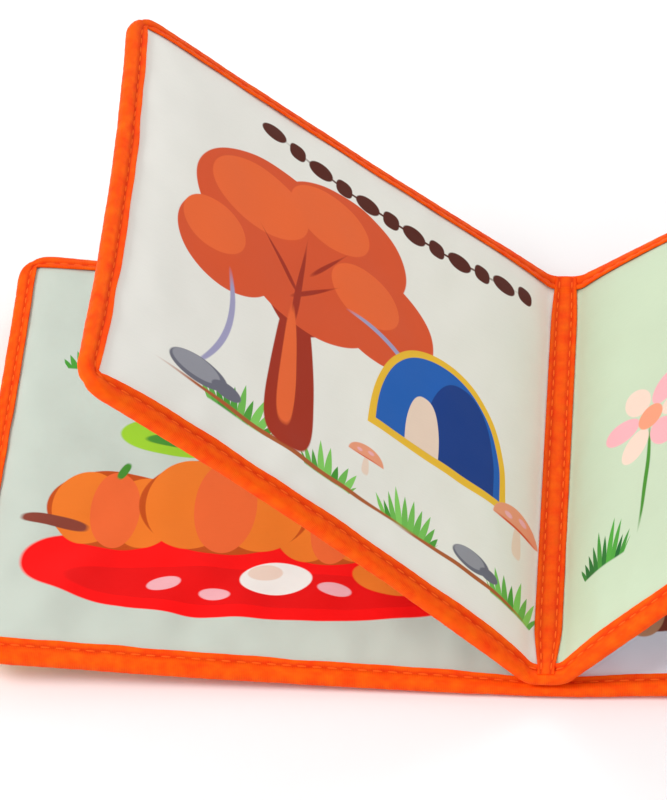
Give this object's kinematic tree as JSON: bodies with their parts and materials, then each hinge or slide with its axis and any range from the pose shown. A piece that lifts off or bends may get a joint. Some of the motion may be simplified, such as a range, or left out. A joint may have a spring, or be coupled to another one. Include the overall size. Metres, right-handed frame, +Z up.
{
  "type": "cloth book",
  "caption": "Soft cloth baby book with padded fabric leaves and folded tape edges, lying open with its inner leaves standing in a V and its two covers hinged at the spine.",
  "frame": {"origin": "on the floor under the middle of the spine, at the centre of the book's base", "axes": "+X across the pages to the right, +Y along the spine away from the reader, +Z up"},
  "size_m": [0.3142, 0.1572, 0.1121],
  "materials": {
    "orange_tape": "ribbed satin polyester tape, folded and stitched",
    "orange_thread": "twisted polyester sewing thread",
    "cream_cloth": "fine plain weave polyester with a soft sheen and printed fields of colour",
    "pale_green_cloth": "fine plain weave polyester with a soft sheen and printed fields of colour",
    "grey_green_cloth": "fine plain weave polyester with a soft sheen and printed fields of colour",
    "lilac_cloth": "fine plain weave polyester with a soft sheen and printed fields of colour",
    "under_cloth": "fine plain weave polyester with a soft sheen and printed fields of colour",
    "outside_cloth": "fine plain weave polyester with a soft sheen and printed fields of colour",
    "wadding": "bonded polyester wadding, sealed inside"
  },
  "bodies": {
    "spine": {"spine_tape": "orange_tape", "cover_spine_web": "grey_green_cloth", "cover_gutter_tape": "orange_tape", "cover_end_folds": "orange_tape", "under_tape": "orange_tape", "inner_spine_web": "cream_cloth", "gutter_tape": "orange_tape", "inner_end_folds": "orange_tape", "gutter_stitches": "orange_thread", "left_leaf_top_cloth": "cream_cloth", "left_leaf_under_cloth": "under_cloth", "left_leaf_wadding": "wadding", "left_leaf_binding": "orange_tape", "right_leaf_top_cloth": "pale_green_cloth", "right_leaf_under_cloth": "under_cloth", "right_leaf_wadding": "wadding", "right_leaf_binding": "orange_tape"},
    "front_cover": {"front_cover_inside_cloth": "grey_green_cloth", "front_cover_outside_cloth": "outside_cloth", "front_cover_wadding": "wadding", "front_cover_binding": "orange_tape"},
    "back_cover": {"back_cover_inside_cloth": "lilac_cloth", "back_cover_outside_cloth": "outside_cloth", "back_cover_wadding": "wadding", "back_cover_binding": "orange_tape"}
  },
  "joints": [
    {"name": "front_cover_hinge", "type": "hinge", "parent": "spine", "child": "front_cover", "pos_m": [-0.00617, 0, 0.0041], "axis": [0, 1, 0], "range_deg": [0, 24]},
    {"name": "back_cover_hinge", "type": "hinge", "parent": "spine", "child": "back_cover", "pos_m": [0.00617, 0, 0.0041], "axis": [0, -1, 0], "range_deg": [0, 20]}
  ]
}
